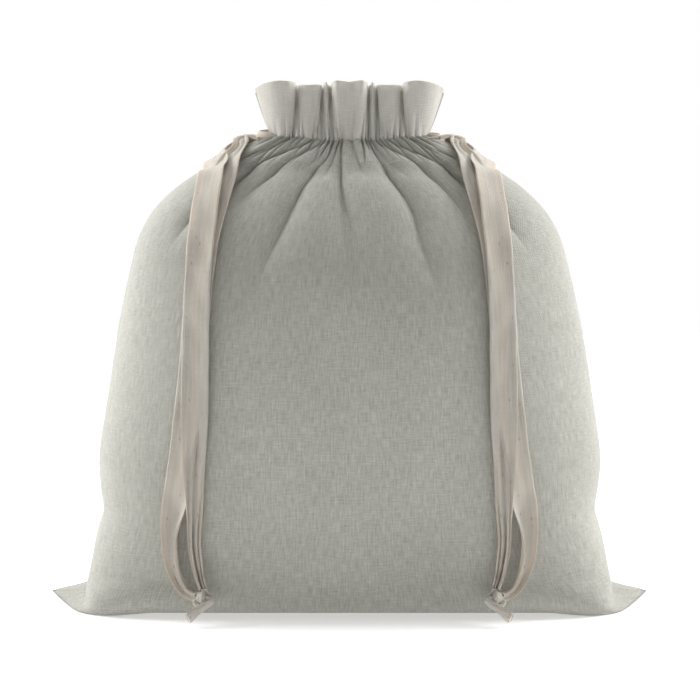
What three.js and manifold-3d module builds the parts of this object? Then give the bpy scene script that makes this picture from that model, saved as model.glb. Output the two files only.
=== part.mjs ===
// A cotton treat pouch with a double drawstring, standing filled on its own base with its neck drawn shut.
// Two panels of plain-weave cotton are sewn together at the sides and along the bottom, and the two corners
// of the bottom seam stick out as flat ears. Each panel ends in a gathered casing (the channel for the
// drawstrings) and, above it, a frill that opens like a pair of lips. Two cotton tapes run through both
// casings, one coming out of each side slot. Both ends of a tape hang over the shoulder and are knotted
// together, so that pulling the two loops apart closes the pouch.
//
// Millimetres. X runs across the pouch, the front faces -Y, and +Z is up. The origin is on the surface that
// the pouch stands on, under the middle of it.
import * as THREE from "three";
import { mergeVertices } from "three/addons/utils/BufferGeometryUtils.js";
import Module from "manifold-3d";

const wasm = await Module();
wasm.setup();

// ---------------------------------------------------------------- driving dimensions
const CLOTH = 0.8; // wall of a panel, seams and loft included
const GAP = 0.3; // between neighbours that touch on the real pouch
const HALF_FLAT_WIDTH = 100; // from the middle of the bottom seam to the tip of an ear
const EAR_HEIGHT = 3.4; // where an ear meets the side of the pouch

// Half width, half depth, squareness (2 is an ellipse) and height of the filled pouch, from base to neck.
const BASE = { a: 87, b: 37.5, n: 5, z: 0 };
const BODY = [
  BASE,
  { a: 87.2, b: 39.5, n: 4.6, z: 3.4 },
  { a: 86.7, b: 41, n: 3.9, z: 11 },
  { a: 84.8, b: 42.3, n: 3.4, z: 21 },
  { a: 82.3, b: 43.3, n: 3.1, z: 30 },
  { a: 83.2, b: 44.3, n: 2.8, z: 38 },
  { a: 83.8, b: 45.1, n: 2.65, z: 47 },
  { a: 80.7, b: 46, n: 2.5, z: 68 },
  { a: 77, b: 45.3, n: 2.35, z: 91 },
  { a: 73, b: 43, n: 2.3, z: 110 },
  { a: 70, b: 39.3, n: 2.25, z: 121 },
  { a: 64.9, b: 34, n: 2.2, z: 130 },
  { a: 57, b: 27.8, n: 2.2, z: 137.8 },
  { a: 47.8, b: 21.5, n: 2.2, z: 143.8 },
  { a: 37.5, b: 16, n: 2.3, z: 147.6 },
  { a: 30.5, b: 12, n: 2.4, z: 149.2 },
];
const STATIONS = 34; // levels at which the panels are shaped

const CASING = {
  bottom: 149.5,
  top: 155.5,
  halfLength: 28.5,
  front: 11, // how far the gathered face stands from the middle of the neck
  back: 3.6, // half of the passage left between the two casings
  slot: 22, // the inner wall stops here, so that a tape can cross the side slot
  gatherPitch: 3.8,
  gatherDepth: 0.5,
};
const CHANNEL = { near: 5.3, far: 9.3, bottom: 150.6, top: 154.6 };

const FRILL = {
  bottom: 156.2,
  top: 171.6,
  bottomHalfWidth: 21.5,
  topHalfWidth: 31,
  bottomMiddle: 7,
  topMiddle: 8.5,
  bottomWave: 2.4,
  topWave: 4.4,
  waves: 3,
  thickness: 1,
};

const TAPE = {
  width: 9.5,
  thickness: 0.6,
  bunchedWidth: 3.4,
  bunchedThickness: 1.6,
  exit: 35, // where the bunched tape leaves the casings and opens out
  flatFrom: 0.2, // the share of a strand after which it has opened out, past the slot
  flatUntil: 0.9, // the share after which it bunches up again to enter the knot
};
// The two tapes lie one above the other in the casings: the middle height of each.
const TAPE_LEVEL = { left: 151.6, right: 153.6 };
const TURN = { inner: 31, outer: 33.6 }; // where a tape turns round outside the slot opposite to its own

// The routes of the left loop's two strands, in the order that each is laid: out of the side slot, over the
// shoulder as depth and height, down the front as across and height, and into the knot. The back strand
// lies over the front one. The right loop mirrors them.
const BACK_STRAND = {
  slot: [
    { at: [-36.6, 8.6, 151], up: [-0.2, 0.3, 1] },
    { at: [-40.4, 9.2, 148.8], up: [-0.6, 0.3, 0.8] },
  ],
  shoulder: [
    [6.4, 146],
    [1.5, 146.3],
    [-3.5, 145.9],
    [-8, 144.8],
  ],
  onCloth: [
    [-44, 142.4],
    [-45.2, 136],
    [-46.4, 127],
    [-47.4, 115],
    [-48.2, 101],
    [-48.6, 84],
    [-49, 66],
    [-49.5, 48],
    [-49.9, 34],
    [-50, 24],
    [-48.8, 16],
  ],
  lift: 2.6, // of the tape's middle above the cloth
  end: [{ at: [-47, -46.3, 10.6], up: [0.1, -1, 0.2] }],
};
const FRONT_STRAND = {
  slot: [
    { at: [-35.6, 2.4, 152.8], up: [-0.6, 0.2, 1] },
    { at: [-35.2, -2, 151.6], up: [-0.8, -0.5, 1] },
  ],
  shoulder: [],
  onCloth: [
    [-38.8, 146.2],
    [-40.9, 141.5],
    [-43, 135],
    [-45.4, 126],
    [-47.4, 114],
    [-48.8, 100],
    [-50, 85],
    [-51.6, 68],
    [-53.4, 52],
    [-55.2, 39],
    [-56.2, 29],
    [-55.8, 20.5],
  ],
  lift: 0.9,
  end: [{ at: [-51.8, -43.9, 10.4], up: [-0.2, -1, 0.2] }],
};
const KNOT = { x: 47.6, y: -46.5, z: 5.6, radius: [3.9, 3.2, 3.4] };
const TAIL = { tip: [51.2, -53.5, 2.1], radius: 1.7 };

const SEAM_FIN = { width: 5, thickness: 1, inset: 1 }; // an overlocked seam allowance inside the pouch
const THREAD = 0.4;

const COTTON = { color: 0xc9c9c1, roughness: 0.95, metalness: 0 };
const TAPE_COTTON = { color: 0xcfc6ba, roughness: 0.9, metalness: 0 };
const SEWING_THREAD = { color: 0xd6d4ca, roughness: 0.8, metalness: 0 };

// ---------------------------------------------------------------- helpers
const pouch = new THREE.Group();
const solidFrom = (vertices, triangles) => {
  const geometry = new THREE.BufferGeometry();
  geometry.setAttribute("position", new THREE.Float32BufferAttribute(vertices.flat(), 3));
  geometry.setIndex(triangles.flat());
  return toSolid(geometry);
};

function toSolid(geometry) {
  const bare = geometry.clone();
  bare.deleteAttribute("normal");
  bare.deleteAttribute("uv");
  const merged = mergeVertices(bare, 1e-4);
  const index = merged.index.array;
  const kept = [];
  for (let i = 0; i < index.length; i += 3) {
    const [a, b, c] = [index[i], index[i + 1], index[i + 2]];
    if (a !== b && b !== c && a !== c) kept.push(a, b, c);
  }
  const mesh = new wasm.Mesh({
    numProp: 3,
    vertProperties: merged.attributes.position.array,
    triVerts: new Uint32Array(kept),
  });
  return new wasm.Manifold(mesh);
}

function toGeometry(solid) {
  const mesh = solid.getMesh();
  const geometry = new THREE.BufferGeometry();
  geometry.setAttribute("position", new THREE.BufferAttribute(mesh.vertProperties, 3));
  geometry.setIndex(new THREE.BufferAttribute(mesh.triVerts, 1));
  geometry.computeVertexNormals();
  return geometry;
}

function box(low, high) {
  const size = high.map((h, i) => h - low[i]);
  const geometry = new THREE.BoxGeometry(...size);
  geometry.translate(...low.map((l, i) => l + size[i] / 2));
  return toSolid(geometry);
}

function add(name, solid, look) {
  const mesh = new THREE.Mesh(toGeometry(solid), new THREE.MeshStandardMaterial(look));
  mesh.name = name;
  pouch.add(mesh);
}

// The same piece on the other side of the plane x = 0 or y = 0.
const mirrored = (solid, x, y) => solid.mirror([x, y, 0]);

// A closed solid through rings with the same number of points, with a fan over each end.
function loft(rings) {
  const count = rings[0].length;
  const vertices = rings.flat();
  const triangles = [];
  for (let r = 0; r + 1 < rings.length; r++) {
    for (let i = 0; i < count; i++) {
      const [a, b] = [r * count + i, r * count + ((i + 1) % count)];
      triangles.push([a, b, b + count], [a, b + count, a + count]);
    }
  }
  const last = (rings.length - 1) * count;
  for (let i = 1; i + 1 < count; i++) {
    triangles.push([0, i + 1, i], [last, last + i, last + i + 1]);
  }
  return solidFrom(vertices, triangles);
}

// ---------------------------------------------------------------- the body's shape
const signedPower = (value, power) => Math.sign(value) * Math.abs(value) ** power;
const shapeLine = new THREE.CatmullRomCurve3(
  BODY.map((s) => new THREE.Vector3(s.a, s.b, s.z)),
  false,
  "centripetal",
);

function squarenessAt(z) {
  const i = Math.max(1, BODY.findIndex((s) => s.z >= z));
  const [low, high] = [BODY[i - 1], BODY[i]];
  return THREE.MathUtils.lerp(low.n, high.n, (z - low.z) / (high.z - low.z));
}

const stations = Array.from({ length: STATIONS + 1 }, (_, i) => {
  const p = shapeLine.getPoint(i / STATIONS);
  return { a: p.x, b: p.y, z: p.z, n: squarenessAt(Math.min(p.z, BODY.at(-1).z)) };
});

// How far a point on the outline lies beyond the filled shape, in the ear.
const earAt = (z, share) =>
  (HALF_FLAT_WIDTH - BASE.a) * Math.max(0, 1 - z / EAR_HEIGHT) * (1 - share);

// Half an outline, from -X to +X through the front: x, y and z of each point.
function frontOutline(s, steps) {
  return Array.from({ length: steps + 1 }, (_, i) => {
    const angle = Math.PI * (1 - i / steps);
    const across = signedPower(Math.cos(angle), 2 / s.n);
    const out = Math.sin(angle) ** (2 / s.n);
    const x = across * s.a + Math.sign(across) * earAt(s.z, out);
    return [x, -GAP / 2 - out * (s.b - GAP / 2), s.z];
  });
}

// The whole outline of the hollow, a cloth's thickness inside.
function hollowOutline(s, steps) {
  return Array.from({ length: steps }, (_, i) => {
    const angle = (2 * Math.PI * i) / steps;
    return [
      signedPower(Math.cos(angle), 2 / s.n) * (s.a - CLOTH),
      signedPower(Math.sin(angle), 2 / s.n) * (s.b - CLOTH),
      s.z,
    ];
  });
}

// The outline's half width, half depth and squareness at any height.
function sectionAt(z) {
  const above = stations.findIndex((s) => s.z >= z);
  const i = above < 0 ? stations.length - 1 : Math.max(1, above);
  const [low, high] = [stations[i - 1], stations[i]];
  const t = (z - low.z) / (high.z - low.z);
  return {
    a: THREE.MathUtils.lerp(low.a, high.a, t),
    b: THREE.MathUtils.lerp(low.b, high.b, t),
    n: THREE.MathUtils.lerp(low.n, high.n, t),
  };
}

// Distance of the front cloth from the plane y = 0 at a place on the front of the pouch.
function frontDepth(x, z) {
  const { a, b, n } = sectionAt(z);
  return b * Math.max(0, 1 - Math.abs(x / a) ** n) ** (1 / n);
}

// ---------------------------------------------------------------- panels
function makeFrontPanel() {
  const outer = loft(stations.map((s) => frontOutline(s, 36)));
  const hollow = stations
    .filter((s) => s.z > CLOTH)
    .filter((_, i) => i % 2 === 0)
    .map((s) => hollowOutline(s, 44));
  const floor = hollow[0].map(([x, y]) => [x, y, CLOTH]);
  const mouth = hollow.at(-1).map(([x, y]) => [x, y, BODY.at(-1).z + 1]);
  return outer.subtract(loft([floor, ...hollow, mouth]));
}

function makePanels() {
  const front = makeFrontPanel();
  add("front_panel", front, COTTON);
  add("back_panel", mirrored(front, 0, 1), COTTON);
}

// ---------------------------------------------------------------- casings and their stitching
function makeFrontCasing() {
  const outline = new THREE.Shape();
  const steps = 60;
  outline.moveTo(-CASING.halfLength, -CASING.back);
  for (let i = 0; i <= steps; i++) {
    const x = THREE.MathUtils.lerp(-CASING.halfLength, CASING.halfLength, i / steps);
    const wave = Math.cos((2 * Math.PI * x) / CASING.gatherPitch);
    outline.lineTo(x, -CASING.front + CASING.gatherDepth * (1 - wave) / 2);
  }
  outline.lineTo(CASING.halfLength, -CASING.back);
  const bar = new THREE.ExtrudeGeometry(outline, {
    depth: CASING.top - CASING.bottom,
    bevelEnabled: false,
  });
  bar.translate(0, 0, CASING.bottom);
  const past = CASING.halfLength + 1;
  const channel = box([-past, -CHANNEL.far, CHANNEL.bottom], [past, -CHANNEL.near, CHANNEL.top]);
  const slot = box([CASING.slot, -CHANNEL.near - 1, CHANNEL.bottom], [past, 0, CHANNEL.top]);
  return toSolid(bar).subtract(channel).subtract(slot).subtract(mirrored(slot, 1, 0));
}

function makeCasings() {
  const front = makeFrontCasing();
  add("front_casing", front, COTTON);
  add("back_casing", mirrored(front, 0, 1), COTTON);
  const rows = { upper: CASING.top - 0.9, lower: CASING.bottom + 0.5 };
  for (const [row, z] of Object.entries(rows)) {
    const face = -CASING.front - GAP;
    const half = CASING.halfLength - 0.5;
    const thread = box([-half, face - THREAD, z], [half, face, z + THREAD]);
    add(`front_${row}_stitching`, thread, SEWING_THREAD);
    add(`back_${row}_stitching`, mirrored(thread, 0, 1), SEWING_THREAD);
  }
}

// ---------------------------------------------------------------- frills
function makeFrontFrill() {
  const across = 48;
  const up = 5;
  const rings = Array.from({ length: up + 1 }, (_, v) => {
    const t = v / up;
    const halfWidth = THREE.MathUtils.lerp(FRILL.bottomHalfWidth, FRILL.topHalfWidth, t);
    const middle = THREE.MathUtils.lerp(FRILL.bottomMiddle, FRILL.topMiddle, t);
    const wave = THREE.MathUtils.lerp(FRILL.bottomWave, FRILL.topWave, t);
    const z = THREE.MathUtils.lerp(FRILL.bottom, FRILL.top, t);
    const line = (side) =>
      Array.from({ length: across + 1 }, (_, i) => {
        const u = (2 * i) / across - 1;
        const y = -middle - wave * Math.cos(FRILL.waves * Math.PI * u);
        return [u * halfWidth, y + (side * FRILL.thickness) / 2, z];
      });
    return [...line(-1), ...line(1).reverse()];
  });
  return loftStrip(rings);
}

// As loft(), for rings that are thin strips: each end is closed with quads across the strip.
function loftStrip(rings) {
  const count = rings[0].length;
  const triangles = [];
  for (let r = 0; r + 1 < rings.length; r++) {
    for (let i = 0; i < count; i++) {
      const [a, b] = [r * count + i, r * count + ((i + 1) % count)];
      triangles.push([a, b, b + count], [a, b + count, a + count]);
    }
  }
  const last = (rings.length - 1) * count;
  for (let i = 0; i + 1 < count / 2; i++) {
    const [a, b, c, d] = [i, i + 1, count - 2 - i, count - 1 - i];
    triangles.push([a, c, b], [a, d, c]);
    triangles.push([last + a, last + b, last + c], [last + a, last + c, last + d]);
  }
  return solidFrom(rings.flat(), triangles);
}

function makeFrills() {
  const front = makeFrontFrill();
  add("front_frill", front, COTTON);
  add("back_frill", mirrored(front, 0, 1), COTTON);
}

// ---------------------------------------------------------------- drawstrings
// The left tape as it lies bunched up in both casings: out of the left slot, and round behind the right one.
function makeTapeInCasings() {
  const middle = (CHANNEL.near + CHANNEL.far) / 2;
  const near = middle - TAPE.bunchedWidth / 2;
  const far = middle + TAPE.bunchedWidth / 2;
  const bottom = TAPE_LEVEL.left - TAPE.bunchedThickness / 2;
  const top = TAPE_LEVEL.left + TAPE.bunchedThickness / 2;
  const run = box([-TAPE.exit, -far, bottom], [TURN.outer, -near, top]);
  const turn = box([TURN.inner, -far, bottom], [TURN.outer, far, top]);
  return run.add(mirrored(run, 0, 1)).add(turn);
}

// A flat tape along points with a normal each, bunching up towards its end.
function sweepTape(points, normals) {
  const last = points.length - 1;
  const rings = points.map((p, i) => {
    const along = points[Math.min(last, i + 1)].clone().sub(points[Math.max(0, i - 1)]).normalize();
    const across = normals[i].clone().cross(along).normalize();
    const up = along.clone().cross(across).normalize();
    const bunched =
      1 -
      THREE.MathUtils.smoothstep(i / last, 0, TAPE.flatFrom) +
      THREE.MathUtils.smoothstep(i / last, TAPE.flatUntil, 1);
    const width = THREE.MathUtils.lerp(TAPE.width, TAPE.bunchedWidth, bunched);
    const corner = (side, level) =>
      p
        .clone()
        .addScaledVector(across, (side * width) / 2)
        .addScaledVector(up, (level * TAPE.thickness) / 2)
        .toArray();
    return [corner(-1, -1), corner(1, -1), corner(1, 1), corner(-1, 1)];
  });
  return loft(rings);
}

// The left side of the pouch at a depth and a height, for a tape that crosses the shoulder.
function beside(y, z) {
  const { a, b, n } = sectionAt(z);
  return new THREE.Vector3(-a * (1 - Math.abs(y / b) ** n) ** (1 / n), y, z);
}

// The outward direction of the pouch's surface at a point on it.
function surfaceNormal({ x, y, z }) {
  const beyond = (dx, dy, dz) => {
    const { a, b, n } = sectionAt(z + dz);
    return Math.abs((x + dx) / a) ** n + Math.abs((y + dy) / b) ** n;
  };
  const d = 0.4;
  return new THREE.Vector3(
    beyond(d, 0, 0) - beyond(-d, 0, 0),
    beyond(0, d, 0) - beyond(0, -d, 0),
    beyond(0, 0, d) - beyond(0, 0, -d),
  ).normalize();
}

function makeStrand({ slot, shoulder, onCloth, lift, end }) {
  const front = new THREE.CatmullRomCurve3(
    onCloth.map(([x, z]) => new THREE.Vector3(x, 0, z)),
    false,
    "centripetal",
  );
  const places = [
    ...shoulder.map(([y, z]) => beside(y, z)),
    ...front.getPoints(30).map(({ x, z }) => new THREE.Vector3(x, -frontDepth(x, z), z)),
  ];
  const laid = places.map((place) => {
    const up = surfaceNormal(place);
    return { at: place.addScaledVector(up, lift), up };
  });
  const all = [...slot, ...laid, ...end];
  const smooth = (key) => {
    const points = all.map((place) => new THREE.Vector3(...place[key]));
    return new THREE.CatmullRomCurve3(points, false, "centripetal").getPoints(46);
  };
  return sweepTape(smooth("at"), smooth("up"));
}

// The overhand knot that joins a loop's two ends, with the pair of tails under it.
function makeKnot() {
  const lump = new THREE.SphereGeometry(1, 20, 14);
  lump.scale(...KNOT.radius);
  lump.translate(-KNOT.x, KNOT.y, KNOT.z);
  const from = new THREE.Vector3(-KNOT.x, KNOT.y, KNOT.z);
  const to = new THREE.Vector3(-TAIL.tip[0], TAIL.tip[1], TAIL.tip[2]);
  const tail = new THREE.CylinderGeometry(TAIL.radius, TAIL.radius, from.distanceTo(to), 12);
  const turn = new THREE.Quaternion().setFromUnitVectors(
    new THREE.Vector3(0, 1, 0),
    to.clone().sub(from).normalize(),
  );
  tail.applyQuaternion(turn);
  tail.translate(...from.clone().lerp(to, 0.5).toArray());
  return toSolid(lump).add(toSolid(tail));
}

function makeDrawstrings() {
  const inCasings = makeTapeInCasings();
  const rise = TAPE_LEVEL.right - TAPE_LEVEL.left;
  add("left_tape_in_casings", inCasings, TAPE_COTTON);
  add("right_tape_in_casings", mirrored(inCasings, 1, 0).translate([0, 0, rise]), TAPE_COTTON);
  const pieces = {
    back_strand: makeStrand(BACK_STRAND),
    front_strand: makeStrand(FRONT_STRAND),
    knot: makeKnot(),
  };
  for (const [name, solid] of Object.entries(pieces)) {
    add(`left_${name}`, solid, TAPE_COTTON);
    add(`right_${name}`, mirrored(solid, 1, 0), TAPE_COTTON);
  }
}

// ---------------------------------------------------------------- seams inside the pouch
function makeSideSeam() {
  const inside = stations.filter((s) => s.z > 8 && s.z < 142);
  const rings = inside.map((s) => {
    const outer = s.a - CLOTH - SEAM_FIN.inset;
    const half = SEAM_FIN.thickness / 2;
    return [
      [outer - SEAM_FIN.width, -half, s.z],
      [outer, -half, s.z],
      [outer, half, s.z],
      [outer - SEAM_FIN.width, half, s.z],
    ];
  });
  return loft(rings);
}

function makeSeams() {
  const side = makeSideSeam();
  add("right_seam_overlock", side, SEWING_THREAD);
  add("left_seam_overlock", mirrored(side, 1, 0), SEWING_THREAD);
  const half = SEAM_FIN.thickness / 2;
  const foot = CLOTH + GAP;
  const bottom = box([-BASE.a + 12, -half, foot], [BASE.a - 12, half, foot + SEAM_FIN.width]);
  add("bottom_seam_overlock", bottom, SEWING_THREAD);
}

makePanels();
makeCasings();
makeFrills();
makeDrawstrings();
makeSeams();

export default pouch;
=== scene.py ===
"""A cotton treat pouch, filled and standing, its neck drawn shut by two flat tapes.

The frame gives the pouch's outline. This script makes the soft pieces over it: the two panels with their
gathered necks and doubled frills, the tapes with their knots, and the stitching. Lengths are millimetres
until a mesh is made, and metres from there on.
"""

import math

import bpy
import numpy as np
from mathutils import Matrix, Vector


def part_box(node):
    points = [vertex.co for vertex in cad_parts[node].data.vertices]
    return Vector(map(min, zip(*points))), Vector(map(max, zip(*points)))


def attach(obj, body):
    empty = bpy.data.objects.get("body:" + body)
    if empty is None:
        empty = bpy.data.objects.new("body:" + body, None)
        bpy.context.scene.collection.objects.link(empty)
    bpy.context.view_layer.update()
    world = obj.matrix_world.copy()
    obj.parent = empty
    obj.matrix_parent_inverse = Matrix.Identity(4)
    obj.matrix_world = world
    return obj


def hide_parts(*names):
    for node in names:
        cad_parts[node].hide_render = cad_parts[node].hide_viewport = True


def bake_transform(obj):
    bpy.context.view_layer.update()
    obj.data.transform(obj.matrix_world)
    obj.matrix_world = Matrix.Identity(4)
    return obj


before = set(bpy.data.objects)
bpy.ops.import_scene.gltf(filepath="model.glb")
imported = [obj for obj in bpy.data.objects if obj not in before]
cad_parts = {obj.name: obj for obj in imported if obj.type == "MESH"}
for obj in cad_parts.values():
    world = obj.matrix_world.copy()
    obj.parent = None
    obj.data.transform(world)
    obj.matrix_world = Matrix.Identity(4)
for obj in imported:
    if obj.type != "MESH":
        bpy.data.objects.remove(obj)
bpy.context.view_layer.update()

MM = 0.001
RNG = np.random.default_rng(7)


def highest_mm(node):
    """The highest corner of a CAD node's box, in millimetres."""
    return np.array(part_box(node)[1]) / MM


# ------------------------------------------------------------------------------ camera
CAMERA_DISTANCE = 1.2
CAMERA_ELEVATION = math.radians(8)
CAMERA_TARGET = Vector((0.0002, 0, 0.083))
FRAME_WIDTH = 0.2333  # what the camera takes in at the middle of the pouch
SENSOR_WIDTH = 36


def make_camera():
    data = bpy.data.cameras.new("camera")
    data.sensor_width = SENSOR_WIDTH
    data.lens = SENSOR_WIDTH * CAMERA_DISTANCE / FRAME_WIDTH
    camera = bpy.data.objects.new("camera", data)
    back = Vector((0, -math.cos(CAMERA_ELEVATION), math.sin(CAMERA_ELEVATION)))
    camera.location = CAMERA_TARGET + back * CAMERA_DISTANCE
    camera.rotation_euler = (-back).to_track_quat("-Z", "Y").to_euler()
    bpy.context.scene.collection.objects.link(camera)
    bpy.context.scene.camera = camera


make_camera()


# ------------------------------------------------------------------------------ numbers and curves
def smoothstep(x):
    x = np.clip(x, 0, 1)
    return x * x * (3 - 2 * x)


def smooth_through(xs, ys, at):
    """A smooth line through the points (xs, ys), read at the places in at."""
    xs, ys, at = (np.asarray(v, float) for v in (xs, ys, at))
    slopes = np.gradient(ys, xs)
    i = np.clip(np.searchsorted(xs, at) - 1, 0, len(xs) - 2)
    step = xs[i + 1] - xs[i]
    t = np.clip((at - xs[i]) / step, 0, 1)
    return (
        (2 * t**3 - 3 * t**2 + 1) * ys[i]
        + (t**3 - 2 * t**2 + t) * step * slopes[i]
        + (3 * t**2 - 2 * t**3) * ys[i + 1]
        + (t**3 - t**2) * step * slopes[i + 1]
    )


def along(points):
    """Distance along a line of points, from its first one."""
    steps = np.linalg.norm(np.diff(points, axis=0), axis=1)
    return np.concatenate([[0], np.cumsum(steps)])


def smooth_path(points, count):
    """A smooth line of evenly spaced points through a few chosen ones."""
    points = np.asarray(points, float)
    chord = along(points)
    fine = np.linspace(0, chord[-1], count * 8)
    dense = np.stack([smooth_through(chord, column, fine) for column in points.T], 1)
    walked = along(dense)
    even = np.linspace(0, walked[-1], count)
    return np.stack([np.interp(even, walked, column) for column in dense.T], 1)


def unit(vectors):
    return vectors / np.maximum(np.linalg.norm(vectors, axis=-1, keepdims=True), 1e-9)


# ------------------------------------------------------------------------------ meshes
def grid_faces(rows, columns, closed=False):
    """Quads over a grid of points. Closed grids join their last column to their first."""
    index = np.arange(rows * columns).reshape(rows, columns)
    if closed:
        index = np.concatenate([index, index[:, :1]], 1)
    corners = [index[:-1, :-1], index[:-1, 1:], index[1:, 1:], index[1:, :-1]]
    return np.stack([c.ravel() for c in corners], 1)


def grain_of(rows, across, upright):
    """The grain of a grid of points: two lengths for each of them."""
    return np.stack([np.broadcast_to(length, rows.shape[:2]) for length in (across, upright)], -1)


def make_object(name, points, faces, material, uv=None):
    """A smooth-shaded mesh from points in millimetres. uv is two lengths in millimetres per point."""
    mesh = bpy.data.meshes.new(name)
    mesh.from_pydata((points * MM).tolist(), [], [list(map(int, f)) for f in faces])
    mesh.polygons.foreach_set("use_smooth", np.ones(len(mesh.polygons), bool))
    if uv is not None:
        corner_of = np.zeros(len(mesh.loops), int)
        mesh.loops.foreach_get("vertex_index", corner_of)
        layer = mesh.uv_layers.new(name="grain")
        layer.data.foreach_set("uv", (uv[corner_of] * MM).astype(np.float32).ravel())
    mesh.materials.append(material)
    mesh.update()
    piece = bpy.data.objects.new(name, mesh)
    bpy.context.scene.collection.objects.link(piece)
    return piece


# ------------------------------------------------------------------------------ materials
class Nodes:
    """Short ways to add shader nodes to one material."""

    def __init__(self, name):
        self.material = bpy.data.materials.new(name)
        self.material.use_nodes = True
        self.tree = self.material.node_tree
        self.tree.nodes.clear()

    def add(self, kind, **inputs):
        node = self.tree.nodes.new(kind)
        for key, value in inputs.items():
            self.feed(node.inputs[key.replace("_", " ")], value)
        return node

    def feed(self, socket, value):
        if isinstance(value, bpy.types.NodeSocket):
            self.tree.links.new(value, socket)
        else:
            socket.default_value = value

    def maths(self, operation, a, b=0.0):
        node = self.tree.nodes.new("ShaderNodeMath")
        node.operation = operation
        self.feed(node.inputs[0], a)
        self.feed(node.inputs[1], b)
        return node.outputs[0]

    def noise(self, vector, scale, detail=2.0):
        node = self.add("ShaderNodeTexNoise", Vector=vector, Scale=scale, Detail=detail)
        return node.outputs["Fac"]

    def stretch(self, x, y, across, upright):
        """A vector of the grain's coordinates, in units of the two given lengths."""
        node = self.tree.nodes.new("ShaderNodeCombineXYZ")
        self.feed(node.inputs[0], self.maths("DIVIDE", x, across))
        self.feed(node.inputs[1], self.maths("DIVIDE", y, upright))
        return node.outputs[0]

    def mix(self, factor, a, b):
        node = self.tree.nodes.new("ShaderNodeMix")
        node.data_type = "RGBA"
        self.feed(node.inputs[0], factor)
        self.feed(node.inputs[6], a)
        self.feed(node.inputs[7], b)
        return node.outputs[2]

    def range(self, value, low, high, to_low, to_high):
        node = self.add("ShaderNodeMapRange", Value=value)
        ends = {"From Min": low, "From Max": high, "To Min": to_low, "To Max": to_high}
        for key, number in ends.items():
            node.inputs[key].default_value = number
        return node.outputs[0]


# The shader reads this offset to find a tape's inner face, where it paints shade.
INNER_FACE = 0.04  # added to the grain across a tape on its inner face, in metres


def woven(name, light, dark, pitch, slub, relief, glow, fleck=None, streak_and_shade_tan=None):
    """Plain-weave cotton: yarns with slubs and with thick and thin places, and some light let through.

    pitch is the yarns' (across, upright) in metres, slub the length of the slubs, relief the height of the
    yarns, and glow the share of light that passes through the cloth. fleck is the colour of bits of seed
    husk, and the tan colour is that of the unbleached streaks, and of painted shade all over the inner
    face, standing in for the shade inside the tape's curls.
    """
    n = Nodes(name)
    grain = n.add("ShaderNodeUVMap")
    grain.uv_map = "grain"
    split = n.add("ShaderNodeSeparateXYZ", Vector=grain.outputs[0])
    u, v = split.outputs[0], split.outputs[1]
    # Yarns don't run quite straight, so both coordinates wander by a part of a yarn.
    wander = n.noise(n.stretch(u, v, 0.006, 0.006), 1.0)
    drift = n.maths("MULTIPLY", n.maths("SUBTRACT", wander, 0.5), pitch[0] * 1.6)
    warp = n.maths("COSINE", n.maths("MULTIPLY", n.maths("ADD", u, drift), math.pi / pitch[0]))
    weft = n.maths("COSINE", n.maths("MULTIPLY", n.maths("ADD", v, drift), math.pi / pitch[1]))
    rounds = n.maths("ADD", n.maths("ABSOLUTE", warp), n.maths("ABSOLUTE", weft))
    crossing = n.maths("MULTIPLY", warp, weft)
    weave = n.maths("MULTIPLY", n.maths("ADD", rounds, crossing), 0.33)

    warp_slub = n.noise(n.stretch(u, v, pitch[0] * 1.1, slub), 1.0, 3.0)
    weft_slub = n.noise(n.stretch(u, v, slub * 0.7, pitch[1] * 1.1), 1.0, 3.0)
    cloud = n.noise(n.stretch(u, v, 0.02, 0.035), 1.0, 3.0)
    uneven = n.maths("ADD", n.maths("MULTIPLY", warp_slub, 0.6), n.maths("MULTIPLY", weft_slub, 0.4))

    tone = n.range(uneven, 0.32, 0.68, 0.0, 1.0)
    shade = n.mix(tone, (*dark, 1), (*light, 1))
    depth = n.range(weave, 0.1, 0.95, 0.78, 1.0)
    patch = n.range(cloud, 0.3, 0.7, 0.96, 1.03)
    shade_node = n.add("ShaderNodeHueSaturation", Color=shade, Value=n.maths("MULTIPLY", depth, patch))
    colour = shade_node.outputs[0]
    if streak_and_shade_tan:
        streaks = n.noise(n.stretch(u, v, 0.0035, 0.07), 1.0, 2.0)
        # Painted shade: the whole inner face of a tape is mixed part way to tan, standing in for the shade
        # inside its curls.
        inner = n.range(u, INNER_FACE / 2 - 0.001, INNER_FACE / 2, 0.0, 0.45)
        share = n.maths("MAXIMUM", n.range(streaks, 0.42, 0.62, 0.0, 0.5), inner)
        colour = n.mix(share, colour, (*streak_and_shade_tan, 1))
    if fleck:
        spots = n.noise(n.stretch(u, v, pitch[0] * 1.4, pitch[0] * 4), 1.0, 0.0)
        colour = n.mix(n.range(spots, 0.77, 0.82, 0.0, 0.75), colour, (*fleck, 1))

    height = n.maths("ADD", weave, n.maths("MULTIPLY", uneven, 1.4))
    bump = n.add("ShaderNodeBump", Height=height, Distance=relief, Strength=1.0)
    surface = n.add(
        "ShaderNodeBsdfPrincipled",
        Base_Color=colour,
        Roughness=0.92,
        Normal=bump.outputs[0],
        Sheen_Weight=0.25,
        Sheen_Roughness=0.5,
    )
    surface.inputs["Specular IOR Level"].default_value = 0.15
    through = n.add("ShaderNodeBsdfTranslucent", Color=colour, Normal=bump.outputs[0])
    both = n.tree.nodes.new("ShaderNodeMixShader")
    both.inputs[0].default_value = glow
    n.tree.links.new(surface.outputs[0], both.inputs[1])
    n.tree.links.new(through.outputs[0], both.inputs[2])
    out = n.tree.nodes.new("ShaderNodeOutputMaterial")
    n.tree.links.new(both.outputs[0], out.inputs[0])
    return n.material


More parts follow.
